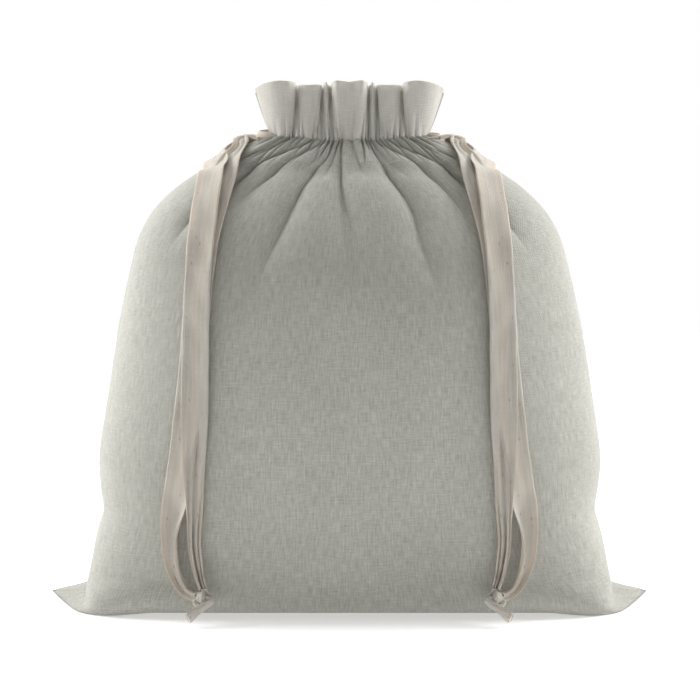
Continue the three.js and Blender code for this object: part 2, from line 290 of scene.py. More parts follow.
COTTON = woven(
    "cotton cloth",
    light=(0.665, 0.66, 0.60),
    dark=(0.42, 0.415, 0.37),
    pitch=(0.00046, 0.00052),
    slub=0.0045,
    relief=0.00010,
    glow=0.12,
)
TAPE = woven(
    "cotton tape",
    light=(0.75, 0.73, 0.665),
    dark=(0.60, 0.555, 0.49),
    pitch=(0.00055, 0.00038),
    slub=0.014,
    relief=0.00008,
    glow=0.18,
    fleck=(0.42, 0.22, 0.13),
    streak_and_shade_tan=(0.77, 0.65, 0.53),
)
# The frill is the body's cotton painted lighter. This is painted light, standing in for the light that
# comes through the doubled frill from behind.
FRILL_PAINTED_BACKLIT = woven(
    "doubled frill, painted backlit",
    light=(0.93, 0.905, 0.835),
    dark=(0.765, 0.735, 0.675),
    pitch=(0.00046, 0.00052),
    slub=0.007,
    relief=0.00010,
    glow=0.14,
)
THREAD = woven(
    "sewing thread",
    light=(0.74, 0.72, 0.66),
    dark=(0.62, 0.60, 0.54),
    pitch=(0.0003, 0.0003),
    slub=0.002,
    relief=0.00004,
    glow=0.05,
)


def overlock():
    """Overlock thread on a CAD solid, which has no grain of its own: loops along the seam."""
    n = Nodes("overlock thread")
    place = n.add("ShaderNodeTexCoord")
    split = n.add("ShaderNodeSeparateXYZ", Vector=place.outputs["Object"])
    run = n.maths("ADD", split.outputs[0], split.outputs[2])
    loops = n.maths("SINE", n.maths("MULTIPLY", run, 2 * math.pi / 0.0018))
    fuzz = n.noise(place.outputs["Object"], 900.0, 3.0)
    tone = n.range(n.maths("ADD", n.maths("MULTIPLY", loops, 0.25), fuzz), 0.2, 0.8, 0.0, 1.0)
    colour = n.mix(tone, (0.50, 0.49, 0.44, 1), (0.72, 0.70, 0.64, 1))
    bump = n.add("ShaderNodeBump", Height=loops, Distance=0.0002)
    surface = n.add("ShaderNodeBsdfPrincipled", Base_Color=colour, Roughness=0.9, Normal=bump.outputs[0])
    out = n.tree.nodes.new("ShaderNodeOutputMaterial")
    n.tree.links.new(surface.outputs[0], out.inputs[0])
    return n.material


OVERLOCK = overlock()


# ------------------------------------------------------------------------------ the filled shape
HALF_FLAT_WIDTH = highest_mm("front_panel")[0]
EAR_ROOT = 87.0  # from the middle of the bottom seam to where an ear starts
CAD_EAR_HEIGHT = 3.4  # below this the CAD panel's outline takes in its ears
EAR_HEIGHT = 2.5
EAR_LIFT = 1.3  # of the tips of the ears off the floor
CORNER_HEIGHT = 12.0
SQUARER = {"front": 5.0, "back": -1.2}
SEAM_GAP = 0.15  # from the plane y = 0 to the edge of a panel
GATHER_LINE = 154.8  # height of the upper row of stitching, where the frill starts
# Half width, half depth, squareness and height of the neck, from the shoulder to the gather line.
NECK = [
    (41.8, 18.0, 2.25, 147.6),
    (36.4, 14.8, 2.3, 150.6),
    (31.0, 12.2, 2.4, 153.0),
    (26.0, 10.2, 2.5, GATHER_LINE),
]


def read_levels():
    """Half width, half depth, squareness and height at each level of the CAD panel below the neck."""
    points = np.array([v.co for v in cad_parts["front_panel"].data.vertices], float) / MM
    levels = []
    for z in sorted(set(np.round(points[:, 2], 2))):
        ring = np.abs(points[np.abs(points[:, 2] - z) < 0.02][:, :2])
        if len(ring) < 30 or z > NECK[0][3] - 2:
            continue
        b = ring[:, 1].max()
        a = ring[:, 0].max()
        corner = np.minimum(ring[:, 0] / a, ring[:, 1] / b).max()
        levels.append((a, b, math.log(0.5) / math.log(corner), z))
    above_ears = next(row for row in levels if row[3] >= CAD_EAR_HEIGHT - 0.01)
    low = [(above_ears[0], b, max(n, above_ears[2]), z) for a, b, n, z in levels if z < above_ears[3]]
    return np.array(low + [row for row in levels if row[3] >= above_ears[3]] + NECK)


LEVELS = read_levels()


def section_at(z):
    """Half width, half depth and squareness of the filled pouch at the heights z."""
    heights = LEVELS[:, 3]
    return tuple(smooth_through(heights, LEVELS[:, k], z) for k in range(3))


def half_outline(z, steps=70, squarer=0.0):
    """The front half of the outline at one height, from the left seam to the right one, as x and y.

    squarer sharpens the corners where the cloth comes down to the floor.
    """
    a, b, n = (float(v) for v in section_at(z))
    n += squarer * max(0.0, 1 - z / CORNER_HEIGHT)
    corner = 0.5 ** (1 / n)
    x_side = np.linspace(0, corner, steps)
    y_side = np.linspace(corner, 0, steps)[1:]
    x = np.concatenate([x_side, (1 - y_side**n) ** (1 / n)])
    y = np.concatenate([(1 - x_side**n) ** (1 / n), y_side])
    ear = (HALF_FLAT_WIDTH - a) * max(0.0, 1 - z / EAR_HEIGHT)
    right = np.stack([x * a + ear * (1 - y), -SEAM_GAP - y * (b - SEAM_GAP)], 1)
    left = right[:0:-1] * [-1, 1]
    return np.concatenate([left, right])


def outline_points(z, fractions, squarer):
    """Points of the front half outline at the given fractions of it, from -1 at the left to 1."""
    line = half_outline(z, squarer=squarer)
    walked = along(line)
    at = (np.asarray(fractions) + 1) / 2 * walked[-1]
    return np.stack([np.interp(at, walked, line[:, k]) for k in range(2)], 1), walked[-1] / 2


def front_depth(x, z):
    """How far the filled shape's front stands from the plane y = 0."""
    a, b, n = section_at(z)
    return b * np.maximum(0, 1 - np.abs(x / a) ** n) ** (1 / n)


# ------------------------------------------------------------------------------ tapes
TAPE_WIDTH = 9.6
TAPE_THICKNESS = 0.5
RIBBON_STEPS = 150
ACROSS = np.linspace(-1, 1, 23)
BUNCHED = 0.36  # width of a bunched-up tape over its flat width
TAPE_LEVELS = {"left": 151.7, "right": 152.6}  # of the two tapes in the casings

# The left loop's strands, in the order that they are laid: from the side slot as (across, depth, height),
# over the shoulder as (depth, height), down the cloth as (across, height), and into the knot. The three
# lifts are those of the tape's middle off the filled shape: over the shoulder, on the front, and near the
# knot. cup is how far the tape curls over its width, in degrees, bunch how far it is gathered up, and roll
# how far it turns about its own line, each as (share of the length, value).
FRONT_STRAND = {
    "slot": [(-28.5, -1.0, 151.8), (-32.4, 1.8, 152.4), (-35.6, 2.4, 152.8), (-35.2, -2.0, 151.6)],
    "shoulder": [],
    "route": [
        (-38.8, 146.2),
        (-40.9, 141.5),
        (-43.0, 135.0),
        (-45.4, 126.0),
        (-47.4, 114.0),
        (-48.8, 100.0),
        (-50.0, 85.0),
        (-51.6, 68.0),
        (-53.4, 52.0),
        (-55.2, 39.0),
        (-56.2, 29.0),
        (-55.8, 20.5),
    ],
    "end": [(-51.8, -43.9, 10.4), (-48.6, -46.0, 9.4)],
    "lift": 0.9,
    "shoulder_lift": 0.9,
    "low_lift": 2.3,
    "cup": [(0, 200), (0.07, 90), (0.2, 12), (0.6, 14), (0.78, 50), (0.88, 170), (1, 230)],
    "bunch": [(0, 0.9), (0.05, 0.6), (0.14, 0), (0.9, 0.0), (1, 0.9)],
    "roll": [(0, 0), (0.6, 0), (0.8, 10), (0.92, 40), (1, 30)],
}
BACK_STRAND = {
    "slot": [(-28.5, 2.6, 151.4), (-32.6, 6.0, 151.6), (-36.6, 8.6, 151.0), (-40.4, 9.2, 148.8)],
    "shoulder": [(6.4, 146.0), (1.5, 146.3), (-3.5, 145.9), (-8.0, 144.8)],
    "route": [
        (-44.0, 142.4),
        (-45.2, 136.0),
        (-46.4, 127.0),
        (-47.4, 115.0),
        (-48.2, 101.0),
        (-48.6, 84.0),
        (-49.0, 66.0),
        (-49.5, 48.0),
        (-49.9, 34.0),
        (-50.0, 24.0),
        (-48.8, 16.0),
    ],
    "end": [(-47.0, -46.3, 10.6)],
    "lift": 2.6,
    "shoulder_lift": 1.1,
    "low_lift": 2.6,
    "cup": [(0, 200), (0.08, 90), (0.18, 20), (0.55, 16), (0.75, 50), (0.86, 110), (1, 150)],
    "bunch": [(0, 0.9), (0.06, 0.7), (0.16, 0), (0.66, 0.05), (0.82, 0.45), (0.92, 0.8), (1, 1)],
    "roll": [(0, 0), (0.1, 0), (0.2, 5), (0.34, 0), (0.5, 0), (0.75, -12), (0.86, -34), (1, -20)],
}


def off_surface(points):
    """How far beyond the filled shape's outline points are, as a share of the outline."""
    a, b, n = section_at(points[..., 2])
    return (np.abs(points[..., 0]) / a) ** n + (np.abs(points[..., 1]) / b) ** n


def surface_normal(points):
    step = 0.4
    slopes = [off_surface(points + axis) - off_surface(points - axis) for axis in np.eye(3) * step]
    return unit(np.stack(slopes, -1))


def smoothed(rows, reach):
    """Each row averaged with the rows around it, reach of them to either side."""
    kernel = np.hanning(2 * reach + 3)[1:-1]
    padded = np.pad(rows, ((reach, reach), (0, 0)), mode="edge")
    return np.stack([np.convolve(column, kernel / kernel.sum(), mode="valid") for column in padded.T], 1)


def beside(y, z):
    """The left side of the filled shape at a depth and a height, for a tape over the shoulder."""
    a, b, n = (float(v) for v in section_at(z))
    return np.array([-a * (1 - (abs(y) / b) ** n) ** (1 / n), y, z])


def keyed(keys, share):
    """The value at each share of the length, eased from one key to the next."""
    places, values = (np.array(v, float) for v in zip(*keys))
    i = np.clip(np.searchsorted(places, share) - 1, 0, len(places) - 2)
    t = smoothstep((share - places[i]) / (places[i + 1] - places[i]))
    return values[i] + (values[i + 1] - values[i]) * t


def strand_line(strand):
    """The line of a strand's middle, and the direction that its outer face looks in."""
    route = smooth_path(strand["route"], 40)
    front = np.column_stack([route[:, 0], -front_depth(route[:, 0], route[:, 1]), route[:, 1]])
    shoulder = np.array([beside(y, z) for y, z in strand["shoulder"]]).reshape(-1, 3)
    laid = np.concatenate([shoulder, front])
    low = smoothstep((np.linspace(0, 1, len(front)) - 0.5) / 0.35)
    front_lift = strand["lift"] + (strand["low_lift"] - strand["lift"]) * low
    lift = np.concatenate([np.full(len(shoulder), strand["shoulder_lift"]), front_lift])
    laid = laid + surface_normal(laid) * lift[:, None]
    points = np.concatenate([strand["slot"], laid, strand["end"]])
    line = smoothed(smooth_path(points, RIBBON_STEPS), 2)
    return line, unit(smoothed(surface_normal(line), 5))


def ribbon(line, facing, cup, bunch, roll, seed):
    """A woven tape along a line: rings of points round its two faces, and the grain of each."""
    forward = unit(np.gradient(line, axis=0))
    side = unit(np.cross(facing, forward))
    out = unit(np.cross(forward, side))
    turn = np.radians(roll)[:, None]
    side, out = side * np.cos(turn) + out * np.sin(turn), out * np.cos(turn) - side * np.sin(turn)

    bend = np.maximum(np.radians(cup), 0.02)[:, None]
    radius = TAPE_WIDTH / bend
    angle = bend * ACROSS / 2
    x = radius * np.sin(angle)
    y = radius * (1 - np.cos(angle))
    rng = np.random.default_rng(seed)
    phase = rng.uniform(0, 2 * math.pi)
    walked = along(line)[:, None]
    pleats = np.sin(2.6 * math.pi * ACROSS + phase + walked * 0.05)
    gathered = bunch[:, None]
    x = x * (1 - (1 - BUNCHED) * gathered)
    y = y * (1 - 0.5 * gathered) + gathered * pleats
    long_ripple = 0.16 * np.sin(walked * 0.19 + 2.2 * ACROSS + phase)
    short_ripple = 0.1 * np.sin(walked * 0.43 - 3 * ACROSS)
    y = y + (long_ripple + short_ripple) * (1 - gathered)

    shift_x = np.gradient(x, axis=1)
    shift_y = np.gradient(y, axis=1)
    size = np.hypot(shift_x, shift_y)
    normal_x, normal_y = -shift_y / size, shift_x / size
    edge = np.sqrt(np.clip(1 - ACROSS**2, 0, 1))
    half = TAPE_THICKNESS / 2 * np.clip(edge * 3, 0.25, 1)
    faces = []
    for level in (1, -1):
        px = x + normal_x * half * level
        py = y + normal_y * half * level
        face = line[:, None] + side[:, None] * px[..., None] + out[:, None] * py[..., None]
        faces.append(face if level > 0 else face[:, ::-1])
    rings = np.concatenate(faces, 1)
    across = np.concatenate([ACROSS, ACROSS[::-1]]) * TAPE_WIDTH / 2
    across[len(ACROSS) :] += INNER_FACE / MM
    return rings, grain_of(rings, across, walked)


def close_ends(rings):
    """Faces of a tube of rings, with both ends filled across."""
    rows, columns = rings.shape[:2]
    faces = grid_faces(rows, columns, closed=True).tolist()
    half = columns // 2
    for start, flip in ((0, False), ((rows - 1) * columns, True)):
        for i in range(half - 1):
            a, b = start + i, start + i + 1
            c, d = start + columns - 2 - i, start + columns - 1 - i
            faces.append([a, b, c, d][:: -1 if flip else 1])
    return faces


def make_tape(name, rings, grain):
    """A piece of tape from its rings of points and the grain of each."""
    points = rings.reshape(-1, 3)
    return make_object(name, points, close_ends(rings), TAPE, grain.reshape(-1, 2))


def mirror_to(side, rings):
    """The left pieces as they are made, or turned over for the right side."""
    return rings if side == "left" else rings[:, ::-1] * [-1, 1, 1]


def make_strand(side, word, strand, seed):
    line, facing = strand_line(strand)
    share = along(line) / along(line)[-1]
    shape = [keyed(strand[key], share) for key in ("cup", "bunch", "roll")]
    rings, grain = ribbon(line, facing, *shape, seed)
    rings = mirror_to(side, rings)
    line = line if side == "left" else line * [-1, 1, 1]
    if side == "right":
        grain = grain[:, ::-1]
    piece = make_tape(f"{side}_{word}_tape", rings, grain)
    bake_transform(piece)
    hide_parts(f"{side}_{word}")
    return piece, line


# ------------------------------------------------------------------------------ knots
KNOT_AT = np.array([-47.3, -46.6, 7.6])
KNOT_SCALE = 0.86
KNOT_STEPS = 190
ROPE_RADIUS = (1.55, 1.05)  # of the two bunched tapes together: across and through
TAIL_TIP = np.array([-52.1, -51.2, 2.8])


def overhand(steps):
    """An overhand knot along +X: a trefoil cut open at one lobe, its two ends led away."""
    t = np.linspace(-math.pi + 0.42, math.pi - 0.42, steps)
    lobes = [np.sin(t) + 2 * np.sin(2 * t), np.cos(t) - 2 * np.cos(2 * t), -1.35 * np.sin(3 * t)]
    return np.stack(lobes, 1)


def make_knot(side):
    """Both ends of a loop tied together, from where they enter the knot to the cut tail."""
    loop = overhand(KNOT_STEPS) * KNOT_SCALE
    # The rope travels down and outward; the loop's lobes spread across the front of the pouch.
    travel = unit(np.array([-0.28, -0.25, -1.0]))
    lobes = unit(np.cross(travel, np.array([0.15, -1.0, 0.0])))
    depth = np.cross(travel, lobes)
    middle = KNOT_AT - lobes * loop[:, 1].mean()
    tied = middle + loop[:, :1] * travel + loop[:, 1:2] * lobes + loop[:, 2:] * depth
    entry = np.array([[-47.4, -45.8, 11.6]])
    tail = np.linspace(tied[-1], TAIL_TIP, 3)[1:]
    line = smooth_path(np.concatenate([entry, tied[::6], tail]), KNOT_STEPS)

    forward = unit(np.gradient(line, axis=0))
    away = unit(line - KNOT_AT)
    across = unit(np.cross(forward, away + np.array([0, 0, 0.01])))
    for i in range(1, len(across)):
        across[i] = across[i] * 0.12 + across[i - 1] * 0.88
        across[i] -= forward[i] * (across[i] @ forward[i])
        across[i] = unit(across[i])
    out = np.cross(forward, across)
    angle = np.linspace(0, 2 * math.pi, 28, endpoint=False)
    walked = along(line)[:, None]
    crumple = (
        1
        + 0.13 * np.cos(2 * angle + 0.4)
        + 0.10 * np.cos(5 * angle + walked * 0.35)
        + 0.06 * np.cos(9 * angle - walked * 0.5)
    )
    taper = 1 + 0.12 * smoothstep((walked - walked[-1] + 4) / 4)
    x = ROPE_RADIUS[0] * np.cos(angle) * crumple * taper
    y = ROPE_RADIUS[1] * np.sin(angle) * crumple * taper
    rings = line[:, None] + across[:, None] * x[..., None] + out[:, None] * y[..., None]
    rings[..., 2] = np.maximum(rings[..., 2], 0.35)
    rings = mirror_to(side, rings)
    grain = grain_of(rings, angle / (2 * math.pi) * TAPE_WIDTH, walked)
    piece = make_tape(f"{side}_overhand_knot", rings, grain)
    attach(piece, f"{side}_loop")
    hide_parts(f"{side}_knot")
    return piece


# ------------------------------------------------------------------------------ tapes in the casings
def make_tape_in_casings(side):
    """The tape bunched up in both casings, with its turn showing at the slot opposite to its own."""
    own = -1 if side == "left" else 1
    level = TAPE_LEVELS[side]
    # Through the back casing from the tape's own slot, round the far slot, and back through the front.
    half = [
        (29.5, 2.6, 0),
        (23, 4.8, 0),
        (12, 6.4, 0),
        (0, 7.0, 0),
        (-12, 6.4, 0),
        (-22, 4.6, 0.2),
        (-28, 3.0, 0.6),
    ]
    there = [(own * x, y, level + rise) for x, y, rise in half]
    turn = [(-own * 29.8, 0.0, level + 0.5)]
    points = there + turn + [(x, -y, z) for x, y, z in there[::-1]]
    line = smooth_path(points, 170)
    share = along(line) / along(line)[-1]
    facing = np.broadcast_to(np.array([0, 0, 1.0]), line.shape)
    bunch = np.full(len(line), 0.7)
    cup = np.full(len(line), 230.0)
    roll = 25 * np.sin(share * 3 * math.pi)
    rings, grain = ribbon(line, facing, cup, bunch, roll, 11)
    piece = make_tape(f"{side}_bunched_tape", rings, grain)
    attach(piece, f"{side}_drawstring")
    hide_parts(f"{side}_tape_in_casings")


def make_drawstring(side):
    knot = make_knot(side)
    for word, strand, seed in (("back_strand", BACK_STRAND, 1), ("front_strand", FRONT_STRAND, 2)):
        piece, line = make_strand(side, word, strand, seed)
    make_tape_in_casings(side)


for side in ("left", "right"):
    make_drawstring(side)


# ------------------------------------------------------------------------------ folds
FULL_HALF_LENGTH = 95  # of the outline where the folds are at their widest
FOOT_OPENING = 0.8  # how much wider a fold is at its foot than at its top


class Fold:
    """A valley that runs down from the gathered neck.

    route is a list of (height, fraction of the outline). The valley is deepest at its top and fades to
    nothing at its foot. width is how fast its walls rise, and both widths and depths are millimetres.
    """

    def __init__(self, route, depth, width, fade=0.6):
        route = sorted(route)
        self.heights = [z for z, _ in route]
        self.fractions = [f for _, f in route]
        self.depth, self.width, self.fade = depth, width, fade

    def shift(self, z, fraction, half_length):
        """Depth below the smooth surface, and sideways pull towards the valley, at one level."""
        foot, top = self.heights[0], self.heights[-1]
        if z < foot:
            return 0.0, 0.0
        centre = smooth_through(self.heights, self.fractions, min(z, top))
        room = half_length / FULL_HALF_LENGTH
        faded = smoothstep((z - foot) / (self.fade * (top - foot)))
        strength = self.depth * faded * (0.35 + 0.65 * room)
        distance = (fraction - centre) * half_length
        opening = 1 + FOOT_OPENING * smoothstep((top - z) / (top - foot))
        width = self.width * max(0.3, room) * opening
        wall = np.exp(-np.sqrt((distance / width) ** 2 + 0.01))
        pull = -0.55 * strength * distance / width * np.exp(-np.abs(distance) / width)
        return strength * wall, pull


# The main valleys of the front, read off its folds from the neck down. Fractions run from -1 to 1.
FRONT_FOLDS = [
    Fold(
        [(154, -0.13), (144, -0.235), (137, -0.25), (128, -0.268), (119, -0.295), (92, -0.33)],
        5.7,
        4.6,
        0.8,
    ),
    Fold([(154, 0.18), (145, 0.23), (137, 0.266), (124, 0.268), (94, 0.33)], 5.4, 4.6, 0.8),
    Fold([(154, -0.04), (143, -0.045), (135, -0.012), (128, 0.015), (112, 0.055)], 3.9, 3.8),
    Fold([(131, -0.04), (108, 0.015)], 1.5, 3.6, 0.5),
    Fold([(154, -0.27), (149, -0.42), (145, -0.46), (138, -0.50), (128, -0.5)], 4.1, 4.2),
    Fold([(154, 0.30), (149, 0.44), (145, 0.47), (138, 0.49), (118, 0.45)], 4.1, 4.4),
    Fold([(154, 0.42), (148.5, 0.60), (146, 0.63), (143, 0.63), (136, 0.6), (128, 0.58)], 4.3, 3.6),
    Fold(
        [(154, -0.40), (148.5, -0.60), (146, -0.63), (143, -0.63), (136, -0.61), (129, -0.59)],
        4.3,
        3.6,
    ),
    Fold([(154, -0.2), (148, -0.28), (143.5, -0.33)], 3.0, 2.6),
    Fold([(154, -0.09), (146, -0.13), (141.5, -0.15)], 3.5, 2.4),
    Fold([(154, 0.05), (146, 0.075), (141, 0.09)], 3.2, 2.4),
    Fold([(154, 0.23), (147, 0.30), (142, 0.35)], 3.0, 2.6),
    Fold([(138, -0.655), (128, -0.665), (118, -0.68)], 2.1, 2.4, 0.7),
    Fold([(138, 0.655), (128, 0.665), (118, 0.68)], 2.1, 2.4, 0.7),
    Fold([(154, 0.62), (149, 0.76), (146, 0.8), (140, 0.82)], 2.2, 2.6),
    Fold([(154, -0.62), (149, -0.76), (146, -0.8), (140, -0.82)], 2.2, 2.6),
]


class Gathers:
    """Fine gathers at the stitched line: round ridges, each of its own width and length."""

    def __init__(self, count, seed):
        rng = np.random.default_rng(seed)
        widths = rng.uniform(0.5, 1.5, count)
        self.places = np.concatenate([[0], np.cumsum(widths)]) / widths.sum() * 2 - 1
        self.depths = rng.uniform(0.7, 1.9, count + 1)
        self.below = rng.uniform(3, 15, count + 1)
        self.above = rng.uniform(3, 12, count + 1)

    def relief(self, fraction, height):
        """Height of the cloth at fractions of its width, at a height over the stitched line."""
        phase = np.interp(fraction, self.places, np.arange(len(self.places)))
        ridge = np.abs(np.sin(math.pi * phase)) ** 0.7
        depth = np.interp(fraction, self.places, self.depths)
        reach = np.interp(fraction, self.places, self.above if height > 0 else self.below)
        return depth * (ridge - 0.7) * smoothstep(1 - abs(height) / reach)


def scattered_folds(count, shallow, deep, short, long, width):
    """Valleys at even places round the neck, each with its own length and depth."""
    folds = []
    for place in np.linspace(-0.93, 0.93, count):
        place += RNG.uniform(-0.5, 0.5) / count
        reach = RNG.uniform(short, long)
        drift = 0.30 * place * smoothstep(reach / 20)
        route = [(GATHER_LINE, place), (GATHER_LINE - reach, place + drift)]
        folds.append(Fold(route, RNG.uniform(shallow, deep), width, 1.0))
    return folds


def undulation(seed):
    """Slow unevenness of filled cloth: a function of fraction and height, in millimetres."""
    waves = np.random.default_rng(seed).uniform(0, 1, (9, 4))

    def height(fraction, z):
        total = 0
        for across, up, phase, size in waves:
            across = 1.5 + 4.5 * across
            up = (up - 0.5) * 0.11
            turn = across * fraction * 2 + up * z + phase * 2 * math.pi
            total = total + (0.1 + 0.22 * size) * np.sin(turn)
        return total

    return height


# ------------------------------------------------------------------------------ the frill
# The folded top edge of the front frill, left half, from its outer corner in to the middle: across, out
# from the plane between the two frills, and height.
FRILL_EDGE = [
    (31.1, 1.0, 168.9),
    (28.8, 4.0, 170.3),
    (25.6, 6.2, 171.3),
    (22.4, 7.0, 171.7),
    (19.4, 6.6, 171.4),
    (17.7, 5.0, 170.8),
    (17.6, 3.2, 170.2),
    (18.9, 2.0, 169.8),
    (18.8, 1.2, 169.6),
    (17.1, 1.7, 169.8),
    (16.8, 3.6, 170.0),
    (15.2, 5.6, 170.2),
    (12.6, 6.4, 170.3),
    (10.0, 5.9, 170.2),
    (9.0, 4.2, 170.0),
    (10.0, 2.4, 169.6),
    (9.8, 1.4, 169.5),
    (8.7, 2.4, 170.1),
    (8.4, 4.6, 170.8),
    (7.5, 5.8, 171.0),
    (6.9, 4.6, 170.5),
    (7.3, 2.8, 169.9),
    (6.6, 2.0, 169.8),
    (6.1, 4.0, 170.6),
    (5.9, 6.4, 171.3),
    (4.2, 8.2, 171.9),
    (2.0, 7.7, 171.6),
    (0.0, 7.4, 171.4),
]
FRILL_LAYER_GAP = 0.7  # between the outside cloth of the frill and its turned-in inside
BACK_FRILL = np.array([1.0, 0.55, 1.0])  # the back frill hangs closer to the middle than the front one
BACK_FRILL_DROP = 1.6
FRILL_RAISE = 1.2


def frill_edge(count, side, wobble):
    """The frill's edge as evenly spaced points from left to right, each a little off its place."""
    half = np.array(FRILL_EDGE) + [0, 0, FRILL_RAISE]
    if side > 0:
        half = half * BACK_FRILL - [0, 0, BACK_FRILL_DROP]
    left = half * [-1, -1, 1]
    right = half[-2::-1] * [1, -1, 1]
    corners = np.concatenate([left, right])
    corners += wobble * RNG.normal(0, 1, corners.shape) * [0.2, 0.25, 0.12]
    corners[:, 1] = np.minimum(corners[:, 1], -0.9)
    return smooth_path(corners, count)


# ------------------------------------------------------------------------------ a panel
COLUMNS = 541
FLAT_WIDTH = 2 * HALF_FLAT_WIDTH
EDGE_RADIUS = 8.0  # of the fold between the underside and the front
BODY_LEVELS = np.concatenate(
    [
        np.linspace(0, 4, 8),
        np.linspace(4, 118, 118)[1:],
        np.linspace(118, GATHER_LINE, 74)[1:],
    ]
)
UNDERSIDE_ROWS = 26
FRILL_ROWS = 26
OWN_PLACE = 0.4  # how far each part of the frill stands right over its own cloth, 0 to 1
GATHERING = 140.0  # height from which the columns close up towards the gather line
LINING_DEPTH = 7.0  # how far the inside layer runs down behind the gather line


def base_inset(z, out):
    """The rounding of the bottom edge: how far it lies inside the upright part."""
    rise = max(0.0, (EDGE_RADIUS - z) / EDGE_RADIUS)
    return EDGE_RADIUS * (1 - math.sqrt(1 - rise**2)) * smoothstep(out * 1.5)


def ear_lift(x):
    """How far the cloth's lowest rows stand off the floor, in the ears."""
    share = np.clip((np.abs(x) - EAR_ROOT) / (HALF_FLAT_WIDTH - EAR_ROOT), 0, 1)
    return EAR_LIFT * share**2


def neck_fractions(edge):
    """Where each column meets the gather line, so that it lies under its own part of the frill."""
    across = np.maximum.accumulate(edge[:, 0]) / 2 + np.minimum.accumulate(edge[::-1, 0])[::-1] / 2
    kernel = np.hanning(31)
    padded = np.pad(across, 15, mode="reflect", reflect_type="odd")
    across = np.convolve(padded, kernel / kernel.sum(), mode="valid")
    line = half_outline(GATHER_LINE)
    wanted = across / np.abs(across).max() * line[:, 0].max()
    walked = along(line)
    own = np.interp(wanted, line[:, 0], walked) / walked[-1] * 2 - 1
    return OWN_PLACE * own + (1 - OWN_PLACE) * np.linspace(-1, 1, len(own))


